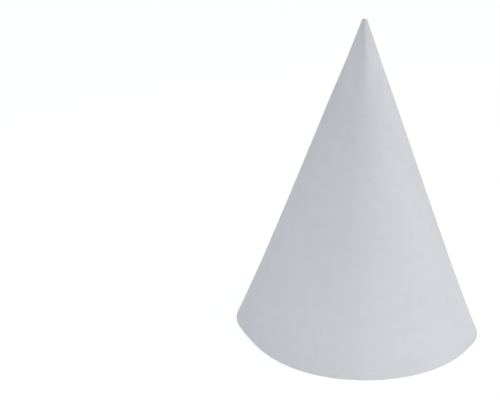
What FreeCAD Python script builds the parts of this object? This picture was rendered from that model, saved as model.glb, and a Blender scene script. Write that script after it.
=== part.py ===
"""Cone paper cup, standing on its mouth: one sheet of thin white paper rolled into a cone.

The sheet goes round once and a little more, and its two straight edges overlap in a glued lap that runs
from the mouth to the tip. The mouth is a plain cut edge, and the tip is pressed small and round.
Sizes are in millimetres. The origin is the centre of the mouth, on the surface that the cup stands on,
and +Z points up to the tip.
"""

import FreeCAD, Part
import os

doc = FreeCAD.newDocument("cone_paper_cup")

# Driving sizes
SIZES = (
    ("mouth_diameter", 72.0, "outside diameter of the mouth, measured on the first turn of the sheet"),
    ("point_height", 93.0, "height of the sharp point that the outside of the first turn aims at"),
    ("paper_thickness", 0.14, "thickness of one layer of paper"),
    ("outer_lap", 6.0, "width of the lap from its middle line to the edge that shows outside"),
    ("inner_lap", 7.5, "width of the lap from its middle line to the edge that shows inside"),
    ("tip_radius", 1.2, "radius of the round tip, outside and inside"),
    ("pressed_length", 3.0, "length below the round tip over which the turns are pressed into one"),
    ("lap_side", 90.0, "direction of the lap's middle line round the cup, in degrees from +X to +Y"),
)

sheet = doc.addObject("Spreadsheet::Sheet", "Sizes")
for row, (name, value, words) in enumerate(SIZES, start=1):
    sheet.set(f"A{row}", words)
    sheet.set(f"B{row}", str(value))
    sheet.setAlias(f"B{row}", name)
doc.recompute()

# The sheet is wound in half turns. Each half turn is half of a cone, and the second one has its axis
# moved sideways by half a wall, so that after a full turn the sheet lies one wall further out.
MOUTH = "Sizes.mouth_diameter / 2"
SLOPE = f"({MOUTH} / Sizes.point_height)"
HALF_ANGLE = f"atan({SLOPE})"
WALL = f"(Sizes.paper_thickness / cos({HALF_ANGLE}))"
HALF_WALL = f"({WALL} / 2)"


def radius_at(height, extra):
    """Radius, at a height, of the cone that lies outside the first turn's outer face by extra."""
    return f"({MOUTH} + {extra} - {height} * {SLOPE})"


def ball_centre(extra):
    """Height of the centre of the ball that touches that cone all round, near its point."""
    return f"(({MOUTH} + {extra}) / {SLOPE} - Sizes.tip_radius / sin({HALF_ANGLE}))"


def ball_touch(extra):
    """Height of the circle where that ball touches that cone."""
    return f"({ball_centre(extra)} + Sizes.tip_radius * sin({HALF_ANGLE}))"


def half_cone(name, extra, top, second=False):
    """Half of a solid cone from the mouth up to the height top, for the first or the second half turn."""
    cone = doc.addObject("Part::Cone", name)
    cone.Angle = 180.0
    cone.setExpression("Radius1", radius_at("0", extra))
    cone.setExpression("Radius2", radius_at(top, extra))
    cone.setExpression("Height", top)
    if second:
        cone.Placement.Rotation = FreeCAD.Rotation(FreeCAD.Vector(0, 0, 1), 180)
        cone.setExpression("Placement.Base.x", HALF_WALL)
    return cone


def round_tip(name, extra):
    """The ball that rounds the tip."""
    ball = doc.addObject("Part::Sphere", name)
    ball.setExpression("Radius", "Sizes.tip_radius")
    ball.setExpression("Placement.Base.z", ball_centre(extra))
    return ball


def lap_strip(name, width, low_side=False):
    """An upright block over one side of the lap, from the lap's middle line to the edge of the sheet."""
    strip = doc.addObject("Part::Box", name)
    strip.setExpression("Length", "Sizes.mouth_diameter")
    strip.setExpression("Width", width)
    strip.setExpression("Height", "Sizes.point_height")
    if low_side:
        strip.setExpression("Placement.Base.y", f"-{width}")
    return strip


def boolean(kind, name, base, tool):
    """A cut or a common of two shapes."""
    result = doc.addObject(kind, name)
    result.Base = base
    result.Tool = tool
    return result


def fuse(name, shapes):
    """One shape from several."""
    result = doc.addObject("Part::MultiFuse", name)
    result.Shapes = shapes
    return result


# The space inside the outer face of the sheet. The outer layer of the lap lies one wall further out.
outer_top = ball_touch(WALL)
lap_outer = boolean(
    "Part::Common",
    "outer_lap",
    half_cone("outer_lap_face", WALL, outer_top),
    lap_strip("outer_lap_strip", "Sizes.outer_lap"),
)

# Below the round tip the turns are pressed into a short stub, which hides the steps between them.
stub_foot = f"({outer_top} - Sizes.pressed_length)"
stub = doc.addObject("Part::Cone", "pressed_stub")
stub.setExpression("Radius1", radius_at(stub_foot, "0"))
stub.setExpression("Radius2", radius_at(outer_top, WALL))
stub.setExpression("Height", "Sizes.pressed_length")
stub.setExpression("Placement.Base.z", stub_foot)
outer_space = fuse(
    "outer_space",
    [
        half_cone("first_half_outer_face", "0", outer_top),
        half_cone("second_half_outer_face", HALF_WALL, outer_top, second=True),
        lap_outer,
        stub,
        round_tip("outer_round_tip", WALL),
    ],
)

# The space inside the inner face of the sheet. The inner layer of the lap lies one wall further in.
inner_top = ball_touch(f"-{WALL}")
second_inner = boolean(
    "Part::Cut",
    "second_half_inner_space",
    half_cone("second_half_inner_face", f"-{HALF_WALL}", inner_top, second=True),
    lap_strip("inner_lap_strip", "Sizes.inner_lap", low_side=True),
)
inner_space = fuse(
    "inner_space",
    [
        half_cone("first_half_inner_face", f"-{WALL}", inner_top),
        second_inner,
        half_cone("inner_lap_face", f"-{WALL} - {HALF_WALL}", inner_top, second=True),
        round_tip("inner_round_tip", f"-{WALL}"),
    ],
)

# The sheet is what lies between the two faces.
cup = boolean("Part::Cut", "paper_cone", outer_space, inner_space)
cup.Label = "paper_cone"
cup.Placement.Rotation = FreeCAD.Rotation(FreeCAD.Vector(0, 0, 1), 1)
cup.setExpression("Placement.Rotation.Angle", "Sizes.lap_side")
doc.recompute()

for item in doc.Objects:
    faults = [word for word in item.State if word in ("Invalid", "Error")]
    if faults:
        raise RuntimeError(f"{item.Name}: {', '.join(faults)}")

os.makedirs("parts", exist_ok=True)
for piece in (cup,):
    shape = piece.Shape
    if shape.isNull() or not shape.isValid() or len(shape.Solids) != 1:
        raise RuntimeError(f"{piece.Label} isn't one valid solid")
    box = shape.BoundBox
    print(
        f"{piece.Label}: {shape.Volume:.1f} mm3, x {box.XMin:.2f} to {box.XMax:.2f}, "
        f"y {box.YMin:.2f} to {box.YMax:.2f}, z {box.ZMin:.2f} to {box.ZMax:.2f}"
    )
    shape.exportStep(f"parts/{piece.Label}.step")
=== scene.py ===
"""A cone paper cup standing on its mouth: one sheet of thin white paper rolled into a cone.

Everything is in metres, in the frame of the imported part: the origin is the centre of the mouth, on the
surface that the cup stands on, +Z points up to the tip, and the glued lap is on the +Y side.
"""

import bpy
import math
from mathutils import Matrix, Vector


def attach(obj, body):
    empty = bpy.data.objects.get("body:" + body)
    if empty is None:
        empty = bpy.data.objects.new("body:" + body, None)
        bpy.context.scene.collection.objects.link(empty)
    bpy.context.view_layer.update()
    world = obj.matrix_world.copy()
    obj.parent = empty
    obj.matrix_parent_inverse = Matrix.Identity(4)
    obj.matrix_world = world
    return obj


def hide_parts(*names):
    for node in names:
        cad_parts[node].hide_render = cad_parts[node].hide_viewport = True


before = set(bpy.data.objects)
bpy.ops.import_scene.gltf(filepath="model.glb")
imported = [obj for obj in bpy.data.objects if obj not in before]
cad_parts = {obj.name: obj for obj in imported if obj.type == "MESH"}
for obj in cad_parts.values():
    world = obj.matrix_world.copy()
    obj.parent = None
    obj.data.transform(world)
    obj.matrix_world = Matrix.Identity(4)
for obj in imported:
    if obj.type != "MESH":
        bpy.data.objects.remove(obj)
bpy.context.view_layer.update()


# The sheet of paper. Its flat blank is part of a ring with two straight edges, and it is rolled into a
# cone on a mandrel. The straight edges overlap in a glued lap, and the last turns are pressed together
# in a small round tip. Handling has bent the wall a little out of round.
MM = 0.001
MOUTH_RADIUS = 36.0 * MM
POINT_HEIGHT = 93.0 * MM
SHEET_SIZES = {
    # The cone, the paper, and the widths of the lap from its middle line to its two edges
    "Mouth Radius": MOUTH_RADIUS,
    "Point Height": POINT_HEIGHT,
    "Tip Radius": 0.83 * MM,
    "Tip Off Centre": -0.42 * MM,
    "Paper Thickness": 0.14 * MM,
    "Tip Thickness": 0.5 * MM,
    "Glue Gap": 0.012 * MM,
    "Outer Lap": 6.0 * MM,
    "Inner Lap": 7.5 * MM,
    "Lap Side": math.radians(90),
    # The tip is pressed slimmer, with soft flats
    "Pressed Length": 22.0 * MM,
    "Flattening": 0.65,
    "First Crease": math.radians(-86.5),
    "Crease Rounding": 0.2,
    "Tip Slimming": 0.01,
    # The free edges of the lap curl a little, and its outer corner is short at the mouth
    "Edge Curl": 0.26 * MM,
    "Curl Width": 2.6 * MM,
    "Corner Short": 0.35 * MM,
    "Corner Width": 9.0 * MM,
    # The glued layers have cockled, and the hidden edge shows through as a low ridge
    "Cockle Depth": 0.3 * MM,
    "Cockle Scale": 170.0,
    "Ridge Height": 0.06 * MM,
    "Ridge Width": 0.7 * MM,
    # The whole wall is a little uneven, with ripples from tip to mouth and with long waves
    "Ripple Depth": 0.05 * MM,
    "Ripple Scale": 3.2,
    "Wave Depth": 0.22 * MM,
    "Wave Scale": 34.0,
}
SHEET_COUNTS = {"Round Steps": 300, "Slant Steps": 104, "Tip Steps": 12, "Flats": 4, "Seed": 4}

# Soft bends of the wall: side in degrees from +X, half width in degrees, how far out at the mouth, and
# how fast that fades towards the tip. With a fade of 1 the wall stays straight from mouth to tip.
SOFT_BENDS = (
    (-166.2, 23.9, -1.51 * MM, 1.0),
    (-106.0, 25.8, 0.64 * MM, 1.0),
    (-15.4, 27.0, 0.25 * MM, 1.0),
    (-181.0, 13.0, 1.1 * MM, 3.5),
    (-180.3, 9.5, 0.5 * MM, 5.0),
    (-103.8, 27.9, 0.65 * MM, 4.0),
    (-17.0, 9.0, 1.2 * MM, 6.0),
    (90.0, 44.0, -0.8 * MM, 1.0),
)

# How far the steps round the roll crowd towards its two free edges, the largest sine of the angle at which
# the outer edge leaves the lap's middle line, so that it stays behind the cup, and the least radius there
EDGE_CROWDING = 0.55
OUTER_EDGE_REACH = 0.88
SMALLEST_RADIUS = 0.01 * MM

# How much of the curl is left at the round tip, and how far up the tip, from 0 at its foot to 1 at its
# pole, the curl has ended, the layers begin to come together, and each face closes
CURL_AT_TIP = 0.2
CURL_ENDS = 0.1
LAYERS_MEET = 0.4
POLE_BEGINS = 0.999

# The angles round the roll between which it begins to lie on itself in the tip, how softly the cockles and
# the dull tone of the lap begin, how close points are merged, and the angle from which an edge is sharp
ON_TOP_FROM = 1.38 * math.pi
ON_TOP_TO = 1.46 * math.pi
LAP_EASE = 0.06
MERGE_DISTANCE = 0.0005 * MM
SHARP_CORNER = math.radians(40)


class Field:
    """A socket of a node tree that takes part in expressions."""

    def __init__(self, tree, socket):
        self.tree = tree
        self.socket = socket

    def math(self, operation, *values):
        return self.tree.math(operation, *values)

    def __add__(self, other):
        return self.math("ADD", self, other)

    def __radd__(self, other):
        return self.math("ADD", other, self)

    def __sub__(self, other):
        return self.math("SUBTRACT", self, other)

    def __rsub__(self, other):
        return self.math("SUBTRACT", other, self)

    def __mul__(self, other):
        return self.math("MULTIPLY", self, other)

    def __rmul__(self, other):
        return self.math("MULTIPLY", other, self)

    def __truediv__(self, other):
        return self.math("DIVIDE", self, other)

    def __rtruediv__(self, other):
        return self.math("DIVIDE", other, self)

    def __pow__(self, other):
        return self.math("POWER", self, other)

    def sin(self):
        return self.math("SINE", self)

    def cos(self):
        return self.math("COSINE", self)

    def asin(self):
        return self.math("ARCSINE", self)

    def exp(self):
        return self.math("EXPONENT", self)

    def at_most(self, other):
        return self.math("MINIMUM", self, other)

    def at_least(self, other):
        return self.math("MAXIMUM", self, other)

    def turned(self):
        """The same angle between minus half a turn and half a turn."""
        return self.math("WRAP", self, math.pi, -math.pi)

    def step(self, low, high):
        """0 at low, 1 at high, and a soft step between them; high may be the lower of the two."""
        settings = {"interpolation_type": "SMOOTHSTEP"}
        return self.tree.node("ShaderNodeMapRange", settings, self, low, high, 0.0, 1.0)

    def part(self, name):
        """Another output of the same node."""
        return Field(self.tree, Tree.find(self.socket.node.outputs, name))


class Tree:
    """A node tree that is written as expressions."""

    def __init__(self, tree):
        self.tree = tree

    def math(self, operation, *values):
        """A Math node on values and links."""
        return self.node("ShaderNodeMath", {"operation": operation}, *values)

    def node(self, kind, settings=None, *values, out=0, **named):
        """Makes one node: its settings first, then the values or links of its sockets."""
        made = self.tree.nodes.new(kind)
        for name, value in (settings or {}).items():
            setattr(made, name, value)
        places = [socket for socket in made.inputs if socket.enabled]
        pairs = list(zip(places, values))
        pairs += [(self.find(made.inputs, name), value) for name, value in named.items()]
        for socket, value in pairs:
            if isinstance(value, Field):
                self.tree.links.new(value.socket, socket)
            elif value is not None:
                socket.default_value = value
        return Field(self, self.find(made.outputs, out)) if made.outputs else made

    @staticmethod
    def find(sockets, key):
        """The shown socket with that place or name. An underscore in a name stands for a space."""
        shown = [socket for socket in sockets if socket.enabled]
        if isinstance(key, int):
            return shown[key]
        wanted = key.replace("_", " ").lower()
        return next(socket for socket in shown if socket.name.lower() == wanted)


def rolled_sheet():
    """The node tree that rolls a flat grid into the cone, with its lap, its pressed tip and its wall."""
    group = bpy.data.node_groups.new("rolled_sheet", "GeometryNodeTree")
    for name in SHEET_SIZES:
        group.interface.new_socket(name, in_out="INPUT", socket_type="NodeSocketFloat")
    for name in SHEET_COUNTS:
        group.interface.new_socket(name, in_out="INPUT", socket_type="NodeSocketInt")
    group.interface.new_socket("Paper", in_out="INPUT", socket_type="NodeSocketMaterial")
    group.interface.new_socket("Cup", in_out="OUTPUT", socket_type="NodeSocketGeometry")
    t = Tree(group)
    given = t.node("NodeGroupInput")
    size = {socket.name: Field(t, socket) for socket in given.socket.node.outputs if socket.name}
    mouth = size["Mouth Radius"]
    ball = size["Tip Radius"]

    def point(x, y, z):
        """A place from its three numbers."""
        return t.node("ShaderNodeCombineXYZ", None, x, y, z)

    def noise(spot, scale, detail):
        """Soft noise about zero."""
        solid = {"noise_dimensions": "3D"}
        return t.node("ShaderNodeTexNoise", solid, spot, Scale=scale, Detail=detail) - 0.5

    def stored(geometry, name, value, kind, domain="POINT"):
        """The mesh with that value kept on it."""
        settings = {"data_type": kind, "domain": domain}
        return t.node("GeometryNodeStoreNamedAttribute", settings, geometry, None, name, value)

    # A flat grid: across goes round the roll, with closer steps at both edges, and up goes from the mouth
    # to the tip
    steps_up = size["Slant Steps"] + size["Tip Steps"]
    grid = t.node("GeometryNodeMeshGrid", None, 1.0, 1.0, size["Round Steps"] + 1, steps_up + 1)
    flat = t.node("ShaderNodeSeparateXYZ", None, t.node("GeometryNodeInputPosition"))
    evenly = flat.part("X") + 0.5
    across = evenly - (evenly * math.tau).sin() * (EDGE_CROWDING / math.tau)
    row = (flat.part("Y") + 0.5) * steps_up
    up_wall = (row / size["Slant Steps"]).at_most(1.0)
    up_tip = ((row - size["Slant Steps"]) / size["Tip Steps"]).at_least(0.0)

    # The cone's own angles and the ball that rounds its point
    half_angle = t.math("ARCTANGENT", mouth / size["Point Height"])
    sine = half_angle.sin()
    cosine = half_angle.cos()
    touch = size["Point Height"] - ball / sine + ball * sine
    lean = half_angle + up_tip * (math.pi / 2 - half_angle)

    # Where the two straight edges of the sheet are, at this distance from the axis
    plain_radius = mouth + (ball * cosine - mouth) * up_wall + ball * (lean.cos() - cosine)
    safe_radius = plain_radius.at_least(SMALLEST_RADIUS)
    inner_edge = (size["Inner Lap"] / safe_radius).at_most(1.0).asin()
    outer_edge = (size["Outer Lap"] / safe_radius).at_most(OUTER_EDGE_REACH).asin()
    turn = across * (inner_edge + outer_edge + math.tau) - inner_edge
    side = (turn + size["Lap Side"]).turned()
    to_inner_end = (turn + inner_edge) * safe_radius
    to_outer_end = (outer_edge + math.tau - turn) * safe_radius

    # The mouth is cut square to the sheet, and the outer corner of the lap is a little short
    short = size["Corner Short"] * to_outer_end.step(size["Corner Width"], 0.0)
    start = (size["Paper Thickness"] * sine + short) / touch
    wall = start + (1 - start) * up_wall
    radius = mouth + (ball * cosine - mouth) * wall + ball * (lean.cos() - cosine)
    height = touch * wall + ball * (lean.sin() - sine)

    # The place on the flat blank, on a square that is twice as wide as the sheet is long
    from_point = (mouth + (ball * cosine - mouth) * wall) / sine - ball * (lean - half_angle)
    flat_turn = (turn - math.pi) * sine
    span = 2 * mouth / sine
    blank_across = 0.5 + from_point * flat_turn.sin() / span
    blank_up = 0.25 + from_point * flat_turn.cos() / span
    blank = point(blank_across, blank_up, 0.0)

    # The roll is a spiral, so each layer of the lap lies on the one below it. The layers come together
    # only at the very tip.
    layer = size["Paper Thickness"] / cosine + size["Glue Gap"]
    end_turn = turn.at_least(math.pi).at_most(math.tau).cos()
    start_turn = turn.at_most(0.0).cos()
    apart = up_tip.step(1.0, LAYERS_MEET)
    spiral = layer * 0.5 * (end_turn + start_turn) * apart

    # The free edges of the lap curl away from the glue, more towards the mouth
    grown = plain_radius / mouth
    outer_curl = to_outer_end.step(size["Curl Width"], 0.0)
    inner_curl = to_inner_end.step(size["Curl Width"], 0.0)
    curl = size["Edge Curl"] * (outer_curl - inner_curl) * (CURL_AT_TIP + (1 - CURL_AT_TIP) * grown)
    curl = curl * up_tip.step(CURL_ENDS, 0.0)

    # Both layers of the glued lap, and the ridge where the outer one crosses the edge of the inner one
    lap_width = size["Outer Lap"] + size["Inner Lap"]
    to_end = to_outer_end.at_most(to_inner_end) / lap_width
    glued = to_end.step(1 + LAP_EASE, 1 - LAP_EASE)
    from_ridge = (to_outer_end - lap_width) / size["Ridge Width"]
    ridge = size["Ridge Height"] * (from_ridge * from_ridge * -1.0).exp()

    # Soft bends, ripples that run from the tip to the mouth, long waves, and the cockled lap
    bent = 0.0
    for middle, half_width, depth, fade in SOFT_BENDS:
        away = (side - math.radians(middle)).turned() / math.radians(half_width)
        bent = bent + depth * (away * away * -0.5).exp() * grown ** fade
    ripple = noise(point(side.cos(), side.sin(), size["Seed"]), size["Ripple Scale"], 2.0)
    spot = point(radius * side.cos(), radius * side.sin(), height)
    wave = noise(spot, size["Wave Scale"], 1.0)
    cockle = noise(spot, size["Cockle Scale"], 1.0)
    uneven = size["Ripple Depth"] * 2 * ripple * grown + size["Wave Depth"] * wave * grown
    uneven = uneven + size["Cockle Depth"] * cockle * glued * grown + ridge * grown

    # The flats of the tip, between eased creases
    half_flat = math.pi / size["Flats"]
    in_flat = t.math("WRAP", side - size["First Crease"], 2 * half_flat, 0.0) - half_flat
    from_crease = half_flat - t.math("ABSOLUTE", in_flat)
    rounding = size["Crease Rounding"]
    eased = (from_crease * from_crease + rounding * rounding) ** 0.5 - rounding
    flattened = 1 - half_flat.cos() / (half_flat - eased).cos()
    near_tip = (touch - height).step(size["Pressed Length"], 0.0)
    flats = (size["Flattening"] * flattened + size["Tip Slimming"]) * near_tip * plain_radius

    # Both faces of the sheet. The inner face lies one thickness further in, square to the wall. In the
    # round tip the innermost turn is pressed thick, and the turns on it thin out.
    out = radius + spiral + curl + bent + uneven - flats
    on_top = turn.step(ON_TOP_FROM, ON_TOP_TO)
    paper = size["Paper Thickness"]
    pressed = paper + (size["Tip Thickness"] - paper) * up_tip.step(0.0, 1.0)
    thinned = paper * apart
    thick = pressed + (thinned - pressed) * on_top
    inward = out - thick * lean.cos()
    off = size["Tip Off Centre"] * height / size["Point Height"]
    outer_face = point(out * side.cos() + off, out * side.sin(), height)
    inner_face = point(inward * side.cos() + off, inward * side.sin(), height - thick * lean.sin())

    # At the pole of the tip each face closes in one point
    closed = up_tip.step(POLE_BEGINS, 1.0)
    innermost = t.math("LESS_THAN", turn, (ON_TOP_FROM + ON_TOP_TO) / 2)
    pole_out = point(off, 0.0, height)
    pole_in = point(off, 0.0, height - size["Tip Thickness"] * innermost)
    vectors = {"data_type": "VECTOR"}
    outer_face = t.node("ShaderNodeMix", vectors, closed, outer_face, pole_out)
    inner_face = t.node("ShaderNodeMix", vectors, closed, inner_face, pole_in)

    # The sheet gets its thickness: a second layer of faces is pushed out from the inner face to the outer
    # one, with cut edges round it
    sheet = stored(grid, "outer_face", outer_face, "FLOAT_VECTOR")
    sheet = stored(sheet, "blank", blank, "FLOAT2", "CORNER")
    sheet = stored(sheet, "glued_lap", glued, "FLOAT")
    sheet = t.node("GeometryNodeSetPosition", None, sheet, None, inner_face)
    faces = {"mode": "FACES"}
    raised = t.node("GeometryNodeExtrudeMesh", faces, sheet, Offset_Scale=0.0, Individual=False)
    outside = t.node("GeometryNodeInputNamedAttribute", {"data_type": "FLOAT_VECTOR"}, "outer_face")
    cut = stored(raised, "cut_edge", raised.part("Side"), "FLOAT", "FACE")
    top = t.node("GeometryNodeSetPosition", None, cut, raised.part("Top"), outside)
    inside = t.node("GeometryNodeFlipFaces", None, sheet)
    both = t.node("GeometryNodeJoinGeometry", None, top)
    group.links.new(inside.socket, both.socket.node.inputs[0])
    whole = t.node("GeometryNodeMergeByDistance", None, both, Distance=MERGE_DISTANCE)
    whole = t.node("GeometryNodeSetShadeSmooth", {"domain": "FACE"}, whole, None, True)
    corner = t.node("GeometryNodeInputMeshEdgeAngle")
    sharp = t.node("FunctionNodeCompare", {"operation": "GREATER_THAN"}, corner, SHARP_CORNER)
    whole = t.node("GeometryNodeSetShadeSmooth", {"domain": "EDGE"}, whole, sharp, False)
    whole = t.node("GeometryNodeRealizeInstances", None, whole)
    whole = t.node("GeometryNodeSetMaterial", None, whole, None, size["Paper"])
    t.node("NodeGroupOutput", None, whole)
    return group


# The paper is a bright uncoated white with a cool cast. It is matt and lets some light through. Its
# clouds and fibres lie in the flat blank, most fibres along the web, and a few specks are dark. The cut
# edges are paler, and the glued lap and the pressed tip are a little duller.
PAPER_WHITE = (0.800, 0.808, 0.850, 1.0)
PAPER_SHADE = (0.740, 0.747, 0.788, 1.0)
CUT_WHITE = (0.82, 0.826, 0.86, 1.0)
TIP_GREY = (0.70, 0.70, 0.715, 1.0)
FLECK_GREY = (0.20, 0.19, 0.20, 1.0)
THROUGH_WHITE = (0.79, 0.80, 0.85, 1.0)
LIGHT_THROUGH = 0.22
GLOSS = 0.32
MATTNESS = 0.62
CLOUD_MATTNESS = 0.16
FIBRE_MATTNESS = 0.2

# Widths of the spots and fibres on the blank, and how much each brightens the paper from shade to white
BLANK_SPAN = 2 * math.hypot(MOUTH_RADIUS, POINT_HEIGHT)
TONE_WIDTH = 30.0 * MM
CLOUD_WIDTH = 3.2 * MM
GRAIN_WIDTH = 0.3 * MM
FIBRE_WIDTH = 0.22 * MM
FIBRE_STRETCH = 0.13
FIBRE_TURNS = (-50, -22, -7, 4, 19, 47, 88)
FIBRE_THIN = 0.62
FIBRE_FULL = 0.74
WEB_DIRECTION = math.radians(12)
TONE_SHARE = 0.8
CLOUD_SHARE = 0.9
GRAIN_SHARE = 0.35
FIBRE_SHARE = 0.9
GLUE_SHADE = 0.3

# Dark specks in about one cell of the pattern in eight, with radii as shares of a cell, and one larger fleck
SPECK_CELLS = 75.0
SPECK_RADIUS = 0.022
SPECK_CORE = 0.008
SPECK_CHANCE = (0.86, 0.9)
SPECK_DARKNESS = 0.5
FRONT_FLECK = Vector((0.6, -16.85, 50.15)) * MM
FRONT_FLECK_RADIUS = 0.42 * MM
FRONT_FLECK_DARKNESS = 0.18

# How far below the cone's point the tip begins to be duller, and how far below it this is full
DULL_FROM = 4.5 * MM
DULL_FULL = 2.0 * MM
DULLNESS = 0.7

# The fine relief of the surface, and how much of it comes from clouds, grain and fibres
RELIEF_DEPTH = 0.03 * MM
RELIEF_STRENGTH = 0.4
CLOUD_RELIEF = 0.6
GRAIN_RELIEF = 0.8
FIBRE_RELIEF = 1.4


def paper_material():
    """White paper with clouds, fibres, specks, a paler cut edge, and a duller lap and tip."""
    material = bpy.data.materials.new("white_paper")
    material.use_nodes = True
    material.node_tree.nodes.clear()
    t = Tree(material.node_tree)
    place = t.node("ShaderNodeTexCoord", out="Object")
    blank = t.node("ShaderNodeUVMap", {"uv_map": "blank"})

    def clouded(spot, width, detail):
        """Soft noise from 0 to 1 over the flat blank, with spots of about that width."""
        flat = {"noise_dimensions": "2D"}
        return t.node("ShaderNodeTexNoise", flat, spot, Scale=BLANK_SPAN / width, Detail=detail)

    tone = clouded(blank, TONE_WIDTH, 2.0) - 0.5
    clouds = clouded(blank, CLOUD_WIDTH, 3.0) - 0.5
    grain = clouded(blank, GRAIN_WIDTH, 2.0) - 0.5
    fibres = 0.0
    for turn in FIBRE_TURNS:
        laid = (0.0, 0.0, WEB_DIRECTION + math.radians(turn))
        spot = t.node("ShaderNodeMapping", None, blank, Rotation=laid, Scale=(FIBRE_STRETCH, 1.0, 1.0))
        strand = clouded(spot, FIBRE_WIDTH, 0.0)
        fibres = fibres + strand.step(FIBRE_THIN, FIBRE_FULL) / len(FIBRE_TURNS)

    speck = t.node("ShaderNodeTexVoronoi", {"feature": "F1"}, place, Scale=SPECK_CELLS)
    chance = t.node("ShaderNodeSeparateColor", None, speck.part("Color"), out="Red")
    specks = speck.step(SPECK_RADIUS, SPECK_CORE) * chance.step(*SPECK_CHANCE) * SPECK_DARKNESS
    far = t.node("ShaderNodeVectorMath", {"operation": "DISTANCE"}, place, FRONT_FLECK, out="Value")
    fleck = far.step(FRONT_FLECK_RADIUS, 0.5 * FRONT_FLECK_RADIUS)
    dark = specks.at_least(fleck * FRONT_FLECK_DARKNESS)

    edge = t.node("ShaderNodeAttribute", {"attribute_name": "cut_edge"}, out="Fac")
    glued = t.node("ShaderNodeAttribute", {"attribute_name": "glued_lap"}, out="Fac")
    colours = {"data_type": "RGBA"}
    height = t.node("ShaderNodeSeparateXYZ", None, place, out="Z")
    pressed = height.step(POINT_HEIGHT - DULL_FROM, POINT_HEIGHT - DULL_FULL)
    shade = 0.5 + tone * TONE_SHARE + clouds * CLOUD_SHARE + grain * GRAIN_SHARE
    shade = shade + fibres * FIBRE_SHARE - glued * GLUE_SHADE
    colour = t.node("ShaderNodeMix", colours, shade, PAPER_SHADE, PAPER_WHITE)
    colour = t.node("ShaderNodeMix", colours, pressed * DULLNESS, colour, TIP_GREY)
    colour = t.node("ShaderNodeMix", colours, edge, colour, CUT_WHITE)
    colour = t.node("ShaderNodeMix", colours, dark, colour, FLECK_GREY)

    relief = clouds * CLOUD_RELIEF + grain * GRAIN_RELIEF + fibres * FIBRE_RELIEF
    bump = t.node("ShaderNodeBump", None, Strength=RELIEF_STRENGTH, Distance=RELIEF_DEPTH, Height=relief)
    surface = t.node(
        "ShaderNodeBsdfPrincipled",
        None,
        Base_Color=colour,
        Roughness=MATTNESS + CLOUD_MATTNESS * clouds + FIBRE_MATTNESS * fibres,
        Specular_IOR_Level=GLOSS,
        Normal=bump,
    )
    through = t.node("ShaderNodeBsdfTranslucent", None, Color=THROUGH_WHITE, Normal=bump)
    sheet = t.node("ShaderNodeMixShader", None, LIGHT_THROUGH, surface, through)
    t.node("ShaderNodeOutputMaterial", None, Surface=sheet)
    return material


def from_tree(name, group, values):
    """A plain mesh object with what a node tree makes from those inputs."""
    source = bpy.data.objects.new(name + "_source", bpy.data.meshes.new(name + "_source"))
    bpy.context.scene.collection.objects.link(source)
    modifier = source.modifiers.new("roll", "NODES")
    modifier.node_group = group
    for item in group.interface.items_tree:
        if item.in_out == "INPUT":
            modifier[item.identifier] = values[item.name]
    evaluated = source.evaluated_get(bpy.context.evaluated_depsgraph_get())
    mesh = bpy.data.meshes.new_from_object(evaluated)
    mesh.name = name
    bpy.data.objects.remove(source)
    made = bpy.data.objects.new(name, mesh)
    bpy.context.scene.collection.objects.link(made)
    return made


cup = from_tree(
    "rolled_cup", rolled_sheet(), {**SHEET_SIZES, **SHEET_COUNTS, "Paper": paper_material()}
)
cup.data.attributes.remove(cup.data.attributes["outer_face"])
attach(cup, "root")
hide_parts("paper_cone")


# The table is a plain pale surface that fills the view, and a plain pale wall stands all round it. The
# wall is there for the eye alone: it neither lights the cup nor shades it.
TABLE_RADIUS = 5.0
WALL_HEIGHT = 4.0
TABLE_STEPS = 96
TABLE_WHITE = (0.962, 0.962, 0.962, 1.0)
WALL_WHITE = (1.0, 1.0, 1.0, 1.0)

ring = [math.tau * step / TABLE_STEPS for step in range(TABLE_STEPS)]
low_ring = [(TABLE_RADIUS * math.cos(turn), TABLE_RADIUS * math.sin(turn), 0.0) for turn in ring]
high_ring = [(x, y, WALL_HEIGHT) for x, y, _ in low_ring]
table_face = [tuple(range(TABLE_STEPS))]
wall_faces = []
for here in range(TABLE_STEPS):
    beside = (here + 1) % TABLE_STEPS
    wall_faces.append((here, here + TABLE_STEPS, beside + TABLE_STEPS, beside))


def stage_piece(name, points, faces, shader, colour):
    """A plain piece of the room, with one plain shader."""
    mesh = bpy.data.meshes.new(name)
    mesh.from_pydata(points, [], faces)
    made = bpy.data.objects.new(name, mesh)
    bpy.context.scene.collection.objects.link(made)
    paint = bpy.data.materials.new(name + "_paint")
    paint.use_nodes = True
    paint.node_tree.nodes.clear()
    t = Tree(paint.node_tree)
    t.node("ShaderNodeOutputMaterial", None, Surface=t.node(shader, None, Color=colour))
    mesh.materials.append(paint)
    return made


stage_piece("table", low_ring, table_face, "ShaderNodeBsdfDiffuse", TABLE_WHITE)
wall = stage_piece("wall", low_ring + high_ring, wall_faces, "ShaderNodeEmission", WALL_WHITE)
wall.visible_diffuse = False
wall.visible_glossy = False
wall.visible_transmission = False
wall.visible_shadow = False


# Soft studio light: a wide even light straight overhead and a key light on the right. Two weak lights
# stand low and close to the cup, so that its wall gets a little brighter towards the mouth.
OVERHEAD_STRENGTH = 3.16
OVERHEAD_TINT = (0.985, 0.995, 1.0)
OVERHEAD_SPREAD = math.radians(90)
OVERHEAD_HEIGHT = 2.0
ROOM_LIGHT = 0.035


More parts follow.
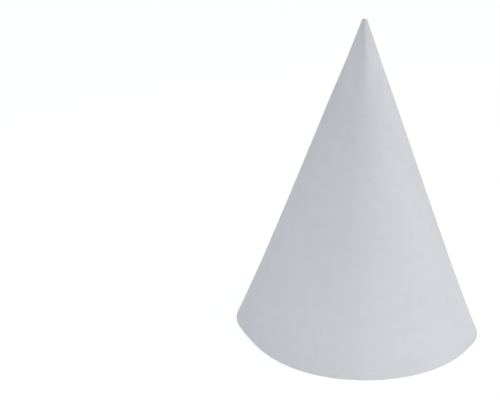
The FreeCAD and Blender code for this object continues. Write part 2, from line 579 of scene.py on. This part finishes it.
def soft_light(name, side, rise, distance, width, watts, tint):
    """A square light that looks at the cup from that side and that many degrees above its middle."""
    data = bpy.data.lights.new(name, "AREA")
    data.shape = "SQUARE"
    data.size = width
    data.energy = watts
    data.color = tint
    lamp = bpy.data.objects.new(name, data)
    turn = math.radians(side)
    lift = math.radians(rise)
    away = Vector((math.cos(turn) * math.cos(lift), math.sin(turn) * math.cos(lift), math.sin(lift)))
    middle = Vector((0.0, 0.0, POINT_HEIGHT / 2))
    lamp.location = middle + away * distance
    lamp.rotation_euler = away.to_track_quat("Z", "Y").to_euler()
    lamp.visible_camera = False
    bpy.context.scene.collection.objects.link(lamp)


soft_light("key", side=-16, rise=3, distance=0.6, width=0.1, watts=0.94, tint=(1.0, 0.99, 0.94))
soft_light(
    "low_front", side=-100, rise=-11, distance=0.12, width=0.05, watts=0.0105, tint=(0.98, 1.0, 0.97)
)
soft_light("low_left", side=172, rise=-7, distance=0.2, width=0.08, watts=0.018, tint=(0.55, 0.78, 1.0))

overhead = bpy.data.lights.new("overhead", "SUN")
overhead.energy = OVERHEAD_STRENGTH
overhead.color = OVERHEAD_TINT
overhead.angle = OVERHEAD_SPREAD
overhead_lamp = bpy.data.objects.new("overhead", overhead)
overhead_lamp.location = (0.0, 0.0, OVERHEAD_HEIGHT)
bpy.context.scene.collection.objects.link(overhead_lamp)

world = bpy.data.worlds.new("studio")
bpy.context.scene.world = world
world.use_nodes = True
world.node_tree.nodes.clear()
room = Tree(world.node_tree)
glow = room.node("ShaderNodeBackground", None, (1.0, 1.0, 1.0, 1.0), ROOM_LIGHT)
room.node("ShaderNodeOutputWorld", None, Surface=glow)


# The camera looks down a little from in front, with the cup to the right of the middle of its view. Its
# lens has 57.6 mm on a frame 36 mm wide.
CAMERA_PLACE = Vector((-32.06, -225.67, 112.43)) * MM
CAMERA_DOWN = math.radians(18.12)
LENS = 57.6
SENSOR = 36.0
NEAREST_SEEN = 0.01

lens = bpy.data.cameras.new("camera")
lens.lens = LENS
lens.sensor_width = SENSOR
lens.sensor_fit = "HORIZONTAL"
lens.clip_start = NEAREST_SEEN
camera = bpy.data.objects.new("camera", lens)
camera.location = CAMERA_PLACE
camera.rotation_euler = (math.pi / 2 - CAMERA_DOWN, 0.0, 0.0)
bpy.context.scene.collection.objects.link(camera)
bpy.context.scene.camera = camera
bpy.context.scene.view_settings.view_transform = "Standard"
